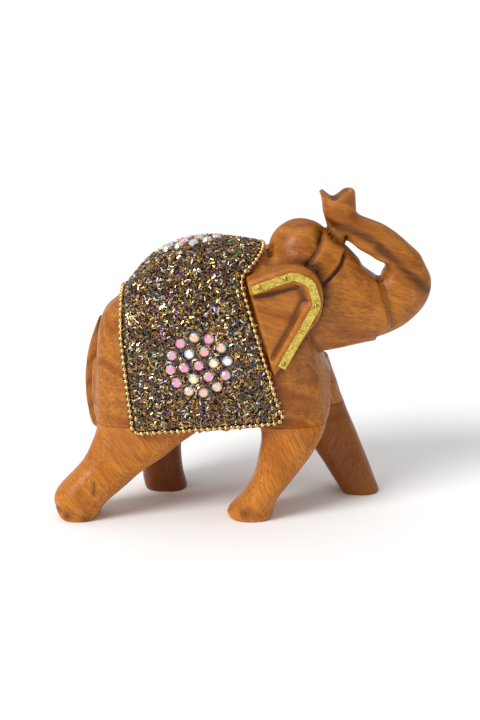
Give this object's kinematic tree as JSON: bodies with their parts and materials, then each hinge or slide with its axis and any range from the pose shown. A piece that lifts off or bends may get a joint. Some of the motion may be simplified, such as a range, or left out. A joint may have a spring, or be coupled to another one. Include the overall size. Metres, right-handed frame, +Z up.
{
  "type": "carved wooden elephant figurine",
  "caption": "Carved wooden elephant walking with raised trunk, wearing a beaded saddle cloth with crystal flowers, a ball chain border and nailed brass ear strips.",
  "frame": {"origin": "on the floor, under the middle of the whole piece", "axes": "+X towards the head, -Y is the elephant's right side, +Z up"},
  "size_m": [0.1628, 0.0626, 0.1406],
  "materials": {
    "carved_wood": "satin varnish over warm brown stain",
    "dowel_wood": "plain turned beech",
    "saddle_fabric": "dark woven cotton under glue",
    "glass_beads": "glossy metallic and iridescent seed beads",
    "crystal_stones": "faceted, rainbow coated, foil backed",
    "gilt_chain": "bright gilt",
    "ear_brass": "embossed sheet, slightly tarnished",
    "nail_brass": "polished round heads"
  },
  "bodies": {
    "root": {"torso": "carved_wood", "tail": "carved_wood", "leg_front_right": "carved_wood", "leg_front_left": "carved_wood", "leg_rear_right": "carved_wood", "leg_rear_left": "carved_wood", "dowel_front_right": "dowel_wood", "dowel_front_left": "dowel_wood", "dowel_rear_right": "dowel_wood", "dowel_rear_left": "dowel_wood", "saddle_cloth": "saddle_fabric", "bead_coat": "glass_beads", "stones_right": "crystal_stones", "stones_left": "crystal_stones", "stones_top": "crystal_stones", "chain_front": "gilt_chain", "chain_rear": "gilt_chain", "chain_hem_right": "gilt_chain", "chain_hem_left": "gilt_chain", "ear_strip_right": "ear_brass", "ear_strip_left": "ear_brass", "ear_nails_right": "nail_brass", "ear_nails_left": "nail_brass"}
  },
  "joints": []
}
